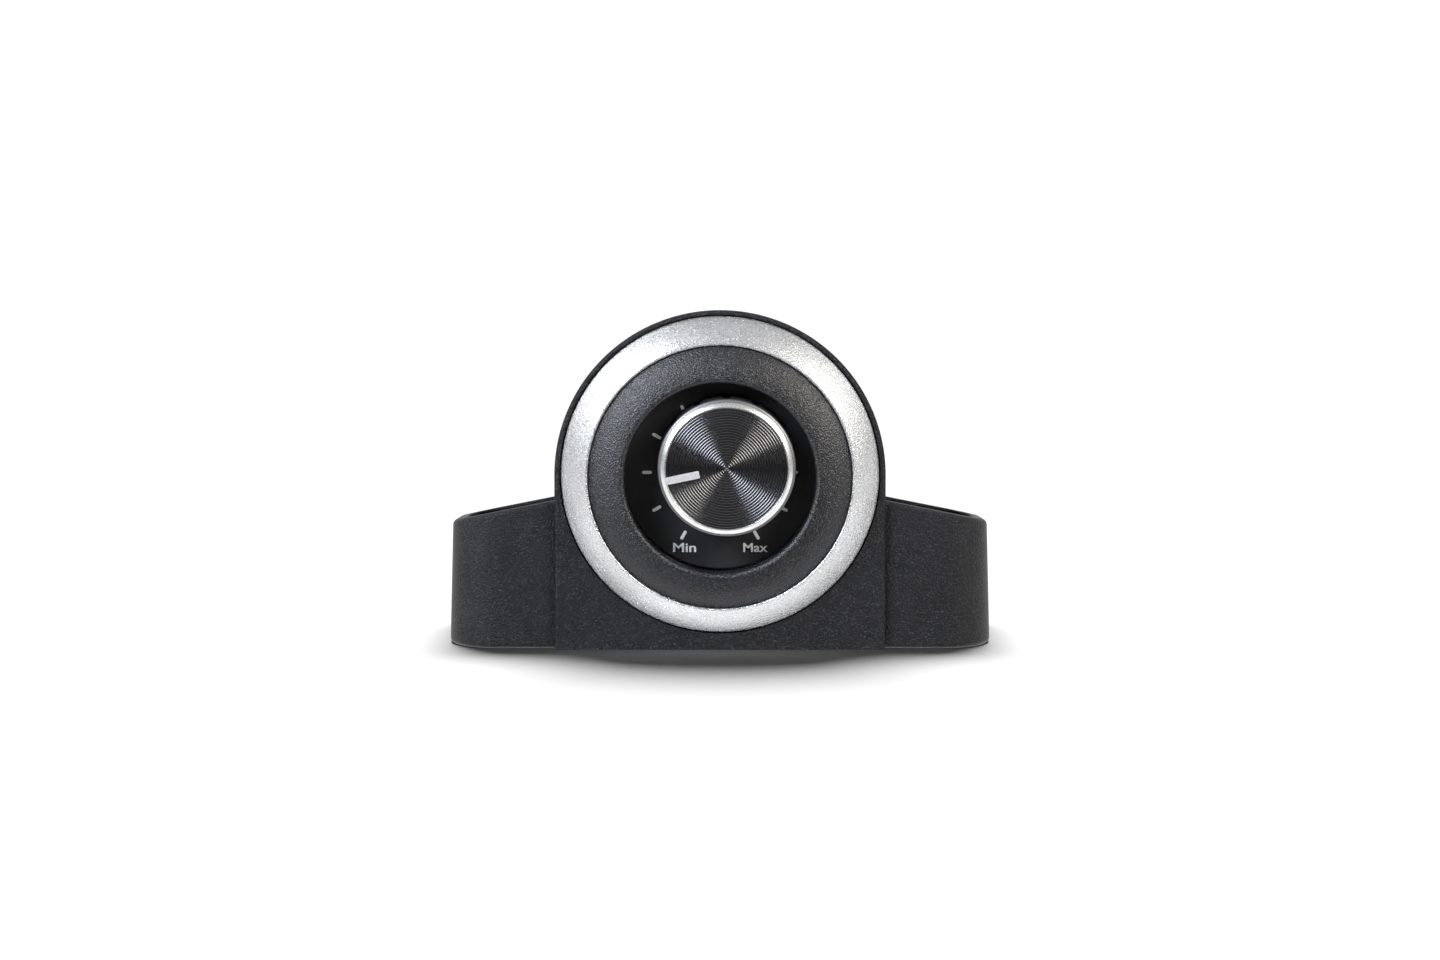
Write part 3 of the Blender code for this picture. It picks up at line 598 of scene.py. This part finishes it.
def build_housing():
    """Wings and hollow pod as one moulding, opened for the dial, the screws and the socket."""
    housing = wing_tray()
    cavity = [arch_ring(depth, POD_WALL, -CUT_PAST) for depth in (FRONT_WALL, CAVITY_END)]
    steps = [("UNION", pod_solid()), ("DIFFERENCE", loft("cavity_tool", cavity))]
    for side in (-1, 1):
        x, y = side * MOUNT_HOLE.x, FRONT_Y + MOUNT_HOLE.y
        steps.append(("DIFFERENCE", cylinder(f"mount_tool_{side}", MOUNT_HOLE_RADIUS,
                                             (x, y, -CUT_PAST), (x, y, 5 * MM))))
    steps.append(("DIFFERENCE", cylinder("recess_tool", RING_RECESS, at(0, -2 * MM, DIAL_Z),
                                         at(0, RING_RECESS_DEPTH, DIAL_Z), 192)))
    steps.append(("DIFFERENCE", cylinder("mouth_tool", CUP_HOLE, at(0, -2 * MM, DIAL_Z),
                                         at(0, 5 * MM, DIAL_Z), 96)))
    clear = Vector((SOCKET_CLEARANCE, 0.0, SOCKET_CLEARANCE))
    low, high = SOCKET_LOW - clear, SOCKET_HIGH + clear
    low.y, high.y = FRONT_Y + SOCKET_CUT[0], FRONT_Y + SOCKET_CUT[1]
    steps.append(("DIFFERENCE", box("socket_tool", low, high)))
    apply_booleans(housing, steps)
    even_shading(housing)
    dress(housing, HOUSING_BLACK, "housing_plastic", "housing", "housing_shell")


# ---------------------------------------------------------------- dial and trim

def build_ring():
    """Bevelled trim ring: a faintly domed cone with a softened edge on both sides."""
    foot = FRONT_Y - RING_HIGH.y
    tip = FRONT_Y - RING_LOW.y
    crest = (RING_INNER + RING_ROUND, tip - RING_ROUND)
    outer = Vector((RING_OUTER - 0.06 * MM, 0.1 * MM))
    inner = Vector((crest[0] + 0.06 * MM, tip - 0.03 * MM))
    profile = [(RING_OUTER, foot), (RING_OUTER, 0.0)]
    for step in range(RING_STEPS + 1):
        share = step / RING_STEPS
        along = outer.lerp(inner, share)
        lift = RING_BULGE * math.sin(math.pi * share)
        profile.append((along.x + lift, along.y + lift))
    profile += arc(crest, (RING_ROUND, RING_ROUND), 80.0, 180.0, 5)
    profile += [(RING_INNER, RING_LEDGE), (CUP_HOLE, RING_LEDGE), (CUP_HOLE, foot)]
    ring = revolve("silver_trim", profile, DIAL_CENTRE, TURN_STEPS)
    dress(ring, SILVER, "silver_trim", "housing", "silver_ring")


def shaft_hole(name, start, end):
    """Tool for the clearance hole round the potentiometer shaft, between two depths."""
    return cylinder(name, SHAFT_HOLE_RADIUS, at(KNOB_AXIS.x, start, KNOB_AXIS.z),
                    at(KNOB_AXIS.x, end, KNOB_AXIS.z))


def build_bezel():
    """Domed black ring, highest at its small inner roll, whose mouth overhangs the dial plate."""
    lip_centre = (CUP_MOUTH + BEZEL_LIP, BEZEL_CREST_HEIGHT - BEZEL_LIP)
    lip = arc(lip_centre, (BEZEL_LIP, BEZEL_LIP), 180.0, 90.0 - BEZEL_TILT[0], 10)
    first, last = (math.radians(tilt) for tilt in BEZEL_TILT)
    start_x, start_z = lip[-1]
    bend = (BEZEL_EDGE - start_x) / (math.sin(last) - math.sin(first))
    face = []
    for step in range(1, BEZEL_STEPS + 1):
        tilt = first + (last - first) * step / BEZEL_STEPS
        face.append((start_x + bend * (math.sin(tilt) - math.sin(first)),
                     start_z - bend * (math.cos(first) - math.cos(tilt))))
    edge_x, edge_z = face[-1]
    face += arc((edge_x - 0.02 * MM, edge_z - 0.12 * MM), (0.1 * MM, 0.1 * MM), 50.0, 0.0, 3)
    profile = [(0.0, CUP_FLOOR[0]), (CUP_INNER, CUP_FLOOR[0]), (CUP_INNER, CUP_THROAT[0]),
               (CUP_MOUTH, CUP_THROAT[1])]
    profile += lip + face
    profile += [(BEZEL_EDGE, BEZEL_BACK), (CUP_OUTER, BEZEL_BACK), (CUP_OUTER, CUP_FLOOR[1]),
                (0.0, CUP_FLOOR[1])]
    bezel = revolve("bezel_ring", profile, DIAL_CENTRE, TURN_STEPS)
    apply_booleans(bezel, [("DIFFERENCE", shaft_hole("cup_tool", 2 * MM, 7 * MM))])
    dress(bezel, BEZEL_BLACK, "bezel_plastic", "housing", "dial_bezel")


def build_plate():
    """Dial plate with the hole for the potentiometer shaft."""
    back = FRONT_Y - PLATE_HIGH.y
    profile = [(0.0, back), (PLATE_RADIUS, back), (PLATE_RADIUS, PLATE_HEIGHT - PLATE_EDGE),
               (PLATE_RADIUS - PLATE_EDGE, PLATE_HEIGHT), (0.0, PLATE_HEIGHT)]
    plate = revolve("dial_face", profile, DIAL_CENTRE, 192)
    apply_booleans(plate, [("DIFFERENCE", shaft_hole("plate_tool", 0.0, 5 * MM))])
    dress(plate, PLATE_BLACK, "dial_plate", "housing", "dial_plate")


def build_ticks():
    """Printed ticks round the dial, raised by the thickness of their ink."""
    bm = bmesh.new()
    half = TICK_WIDTH / 2
    outline = arc((0, TICK_RING[1] - half), (half, half), 0.0, 180.0, 8)
    outline += arc((0, TICK_RING[0] + half), (half, half), 180.0, 360.0, 8)
    face_y = FRONT_Y - PLATE_HEIGHT
    for angle in TICK_ANGLES:
        turn = Matrix.Rotation(math.radians(angle), 4, "Y")
        rims = []
        for y in (face_y - PRINT_THICKNESS, face_y):
            rims.append([bm.verts.new(Vector((0, y, DIAL_Z)) + turn @ Vector((x, 0, z)))
                         for x, z in outline])
        for index in range(len(outline)):
            after = (index + 1) % len(outline)
            bm.faces.new((rims[0][index], rims[0][after], rims[1][after], rims[1][index]))
        bm.faces.new(rims[0])
        bm.faces.new(rims[1])
    dress(finish_mesh("scale_ticks", bm), WHITE_INK, "index_white", "housing")


def build_words():
    """The scale's two end labels, stretched to their printed width and height."""
    face_y = FRONT_Y - PLATE_HEIGHT
    for word, middle, width in WORDS:
        curve = bpy.data.curves.new(word, "FONT")
        curve.body = word
        curve.offset = WORD_BOLDNESS
        curve.extrude = 0.5
        text = link(bpy.data.objects.new("scale_" + word.lower(), curve))
        graph = bpy.context.evaluated_depsgraph_get()
        mesh = bpy.data.meshes.new_from_object(text.evaluated_get(graph))
        bpy.data.objects.remove(text, do_unlink=True)
        lows = [min(vert.co[axis] for vert in mesh.vertices) for axis in range(3)]
        highs = [max(vert.co[axis] for vert in mesh.vertices) for axis in range(3)]
        wide, tall = highs[0] - lows[0], highs[1] - lows[1]
        for vert in mesh.vertices:
            x = (vert.co.x - lows[0]) / wide
            z = (vert.co.y - lows[1]) / tall
            y = 0.0 if vert.co.z < 0 else -PRINT_THICKNESS
            vert.co = Vector((middle + (x - 0.5) * width, face_y + y,
                              DIAL_Z + WORD_BASELINE + z * WORD_CAP_HEIGHT))
        piece = link(bpy.data.objects.new("scale_" + word.lower(), mesh))
        dress(piece, WHITE_INK, "index_white", "housing")


# ---------------------------------------------------------------- knob

def knob_notch(radius, height, angle):
    """Half-round grip slots round the side, starting below the bright rim."""
    if radius < KNOB_RADIUS - 0.05 * MM or height > KNOB_SKIRT_TOP - 0.01 * MM:
        return radius
    pitch = math.tau / KNOB_NOTCHES
    offset = abs((angle / pitch) % 1.0 - 0.5) * pitch * radius
    if offset >= KNOB_NOTCH_RADIUS:
        return radius
    return radius - KNOB_NOTCH_SHARE * math.sqrt(KNOB_NOTCH_RADIUS ** 2 - offset ** 2)


def build_knob_body():
    """Notched skirt with its bore, and the shoulder above the notches, whose lighter grey is a
    painted sheen.
    """
    profile = [(0.0, KNOB_SEAT), (KNOB_FACE_RADIUS - 0.1 * MM, KNOB_SEAT),
               (KNOB_FACE_RADIUS, KNOB_SHOULDER), (KNOB_RADIUS - 0.3 * MM, KNOB_SKIRT_TOP),
               (KNOB_RADIUS, KNOB_SKIRT_TOP - 0.02 * MM), (KNOB_RADIUS, KNOB_FOOT + 0.15 * MM),
               (KNOB_RADIUS - 0.15 * MM, KNOB_FOOT), (KNOB_BORE, KNOB_FOOT),
               (KNOB_BORE, KNOB_FACE_BACK), (0.0, KNOB_FACE_BACK)]
    cap = revolve("knob_body", profile, KNOB_CENTRE, KNOB_NOTCHES * 24, dent=knob_notch)
    dress(cap, SKIRT_BLACK, "knob_aluminium", "knob", "knob_cap")

    # Shoulder in a lighter grey than the skirt: a painted sheen where light falls near the face.
    ring = [(KNOB_FACE_RADIUS, KNOB_SHOULDER),
            (KNOB_RIM_RADIUS - 0.02 * MM, KNOB_SHOULDER + 0.02 * MM)]
    ring += arc((KNOB_RADIUS - 0.34 * MM, KNOB_SKIRT_TOP + 0.3 * MM), (0.34 * MM, 0.3 * MM),
                70.0, 0.0, 8)
    ring += [(KNOB_RADIUS, KNOB_SKIRT_TOP + 0.01 * MM),
             (KNOB_FACE_RADIUS, KNOB_SKIRT_TOP + 0.01 * MM)]
    collar = revolve("knob_shoulder", ring, KNOB_CENTRE, KNOB_STEPS)
    dress(collar, SHOULDER_PAINTED_SHEEN, "knob_aluminium", "knob", "knob_cap")


def build_knob_face():
    """Turned face, cut with concentric V grooves, and the bright chamfered rim round it."""
    pitch = KNOB_FACE_RADIUS / GROOVES
    depth = pitch / 2 * math.tan(GROOVE_SLOPE)
    edge = KNOB_FACE_RADIUS - 0.02 * MM
    face = [(0.0, KNOB_HEIGHT - FACE_DROP)]
    for groove in range(GROOVES):
        for share in GROOVE_SHARES:
            dip = depth * min(share, 1.0 - share) * 2.0
            face.append((pitch * (groove + share), KNOB_HEIGHT - FACE_DROP - dip))
    face += [(edge, KNOB_HEIGHT - FACE_DROP), (edge, KNOB_SEAT + 0.01 * MM),
             (0.0, KNOB_SEAT + 0.01 * MM)]
    disc = revolve("knob_turned_face", face, KNOB_CENTRE, KNOB_STEPS, sharp=80.0)
    dress(disc, ANODISED, "knob_aluminium", "knob", "knob_cap")

    rim_foot = KNOB_SHOULDER + 0.03 * MM
    rim = [(KNOB_FACE_RADIUS, rim_foot), (KNOB_FACE_RADIUS, KNOB_HEIGHT - 0.08 * MM)]
    rim += arc((KNOB_FACE_RADIUS + 0.1 * MM, KNOB_HEIGHT - 0.1 * MM), (0.1 * MM, 0.1 * MM),
               180.0, 65.0, 6)
    rim += arc((KNOB_RIM_RADIUS - 0.12 * MM, KNOB_HEIGHT - 0.44 * MM), (0.12 * MM, 0.12 * MM),
               50.0, 0.0, 4)
    rim += [(KNOB_RIM_RADIUS, rim_foot)]
    chamfer = revolve("knob_bright_rim", rim, KNOB_CENTRE, KNOB_STEPS)
    dress(chamfer, CUT_ALUMINIUM, "knob_aluminium", "knob", "knob_cap")


def build_pointer():
    """White index bar with round inner corners, let into the knob's face."""
    half = POINTER_WIDTH / 2
    corner = POINTER_CORNER
    outline = [(half, POINTER_SPAN[1]), (-half, POINTER_SPAN[1])]
    outline += arc((corner - half, POINTER_SPAN[0] + corner), (corner, corner), 180.0, 270.0, 5)
    outline += arc((half - corner, POINTER_SPAN[0] + corner), (corner, corner), 270.0, 360.0, 5)
    turn = Matrix.Rotation(math.radians(POINTER_ANGLE), 4, "Y")
    rings = []
    for shrink, drop in ((0.0, 0.25 * MM), (0.0, 0.04 * MM), (0.04 * MM, 0.0)):
        middle = Vector((KNOB_CENTRE.x, FRONT_Y - (KNOB_HEIGHT - drop), KNOB_CENTRE.z))
        ring = []
        for x, z in outline:
            x -= math.copysign(min(shrink, abs(x)), x)
            ring.append(middle + turn @ Vector((x, 0, z)))
        rings.append(ring)
    pointer = loft("pointer_bar", rings)
    dress(pointer, POINTER_WHITE, "index_white", "knob", "knob_pointer")


# ---------------------------------------------------------------- carried-over nodes

NODE_FINISH = (
    ("base_plate", HOUSING_BLACK), ("base_screw", ZINC), ("bezel_screw", ZINC),
    ("board_screw", ZINC), ("knob_set_screw", ZINC), ("pot_washer", ZINC), ("pot_can", ZINC),
    ("pot_shaft", ZINC), ("pot_bushing", NICKEL), ("pot_nut", NICKEL), ("pot_terminal", TIN),
    ("socket_pin", TIN), ("knob_core", SOCKET_BLACK), ("pot_wiper", SOCKET_BLACK),
    ("cable_socket", SOCKET_BLACK), ("controller_chip", EPOXY), ("power_transistor", EPOXY),
    ("capacitor", CAN), ("pot_wafer", PHENOLIC), ("circuit_board", LAMINATE),
)


def dress_nodes():
    """Give each node that keeps its CAD solid the finish of its kind."""
    for name, node in frame["nodes"].items():
        for stem, material in NODE_FINISH:
            if name.startswith(stem):
                node.data.materials.clear()
                node.data.materials.append(material)
                node.data.shade_smooth()
                node.data.set_sharp_from_angle(angle=math.radians(SHARP_ANGLE))


# ---------------------------------------------------------------- studio

def softbox(name, direction, distance, size, radiance, colour, receivers):
    """Square area light aimed at the dial, which lights only what receivers allows."""
    target = Vector((0, FRONT_Y, DIAL_Z))
    light = bpy.data.lights.new(name, "AREA")
    light.shape = "SQUARE"
    light.size = size
    light.energy = 4.0 * radiance * size * size     # power that gives this face its radiance
    light.color = colour
    lamp = link(bpy.data.objects.new(name, light))
    lamp.location = target + Vector(direction).normalized() * distance
    lamp.rotation_mode = "QUATERNION"
    lamp.rotation_quaternion = (lamp.location - target).to_track_quat("Z", "Y")
    lamp.light_linking.receiver_collection = receivers


def build_world():
    """Studio surroundings: dark at the front, grey sides, a bright back and floor.

    Diffuse rays see a dim even fill instead, and the camera sees plain white.
    """
    world = bpy.data.worlds.new("studio")
    bpy.context.scene.world = world
    world.use_nodes = True
    tree = world.node_tree
    background = tree.nodes["Background"]

    def ramp(source, low, high, out_low, out_high):
        """Brightness that changes smoothly between two values of a direction's component."""
        node = tree.nodes.new("ShaderNodeMapRange")
        node.interpolation_type = "SMOOTHSTEP"
        for key, value in zip(("From Min", "From Max", "To Min", "To Max"),
                              (low, high, out_low, out_high)):
            node.inputs[key].default_value = value
        tree.links.new(source, node.inputs["Value"])
        return node.outputs["Result"]

    def mix(factor, first, second):
        """Brightness between two others, each given as a number or a socket."""
        node = tree.nodes.new("ShaderNodeMix")
        for socket, value in zip(node.inputs[:1] + node.inputs[2:4], (factor, first, second)):
            if isinstance(value, float):
                socket.default_value = value
            else:
                tree.links.new(value, socket)
        return node.outputs[0]

    direction = tree.nodes.new("ShaderNodeSeparateXYZ")
    tree.links.new(tree.nodes.new("ShaderNodeTexCoord").outputs["Generated"], direction.inputs[0])
    near_walls = ramp(direction.outputs["Y"], -0.85, -0.25, WORLD_FRONT, WORLD_SIDE)
    walls = mix(ramp(direction.outputs["Y"], 0.05, 0.5, 0.0, 1.0), near_walls, WORLD_BACK)
    upper = mix(ramp(direction.outputs["Z"], 0.3, 0.9, 0.0, 1.0), walls, WORLD_TOP)
    lower = ramp(direction.outputs["Y"], -0.8, -0.42, WORLD_FLOOR_FRONT, WORLD_FLOOR)
    around = mix(ramp(direction.outputs["Z"], -0.3, -0.1, 0.0, 1.0), lower, upper)
    rays = tree.nodes.new("ShaderNodeLightPath")
    fill = mix(rays.outputs["Is Diffuse Ray"], around, WORLD_FILL)
    tree.links.new(mix(rays.outputs["Is Camera Ray"], fill, 1.0), background.inputs["Strength"])
    background.inputs["Color"].default_value = (1.0, 1.0, 1.0, 1.0)


def build_floor():
    """Pale plane that shows the object's shadow but isn't mirrored in the object."""
    bm = bmesh.new()
    bmesh.ops.create_grid(bm, x_segments=8, y_segments=8, size=FLOOR_HALF)
    floor = finish_mesh("studio_floor", bm)
    shader = Shader("pale floor").set(Specular_IOR_Level=0.0)
    cloud = shader.noise(0.25, detail=2.0)
    darker, paler = ((tone, tone, tone) for tone in FLOOR_TONES)
    shader.feed("Base Color", shader.blend(cloud, darker, paler))
    shader.feed("Roughness", shader.remap(cloud, 0.0, 1.0, 0.7, 0.8))
    floor.data.materials.append(shader.material)
    floor.visible_glossy = False
    return floor


def build_studio():
    """World, floor, softboxes for the highlights and an overhead light for the shadow."""
    bpy.context.scene.view_settings.view_transform = "Standard"
    build_world()
    floor = build_floor()

    off_floor = bpy.data.collections.new("floor kept out of the softboxes")
    off_floor.objects.link(floor)
    off_floor.collection_objects[0].light_linking.link_state = "EXCLUDE"
    mouldings = bpy.data.collections.new("black mouldings")
    for name in ("housing_moulding", "bezel_ring"):
        mouldings.objects.link(bpy.data.objects[name])
    for name, *details in SOFTBOXES:
        softbox(name, *details, mouldings if name == MOULDINGS_LIGHT else off_floor)

    sun = bpy.data.lights.new("overhead", "SUN")
    sun.energy = OVERHEAD_ENERGY
    sun.angle = OVERHEAD_ANGLE
    lamp = link(bpy.data.objects.new("overhead", sun))
    lamp.rotation_euler = (OVERHEAD_TILT, 0, 0)
    only_floor = bpy.data.collections.new("floor lit by the overhead")
    only_floor.objects.link(floor)
    lamp.light_linking.receiver_collection = only_floor


def build_camera():
    """Long-lens view of the front, from slightly above."""
    target = Vector((0, FRONT_Y, CAMERA_AIM_Z))
    pitch = CAMERA_ELEVATION
    data = bpy.data.cameras.new("camera")
    data.sensor_width = SENSOR_WIDTH
    data.lens = SENSOR_WIDTH * CAMERA_DISTANCE / FIELD_WIDTH
    data.clip_start = 0.01
    data.clip_end = 50.0
    camera = link(bpy.data.objects.new("camera", data))
    camera.location = target + CAMERA_DISTANCE * Vector((0, -math.cos(pitch), math.sin(pitch)))
    camera.rotation_euler = (math.pi / 2 - pitch, 0, 0)
    bpy.context.scene.camera = camera


build_camera()
build_housing()
build_ring()
build_bezel()
build_plate()
build_ticks()
build_words()
build_knob_body()
build_knob_face()
build_pointer()
dress_nodes()
build_studio()
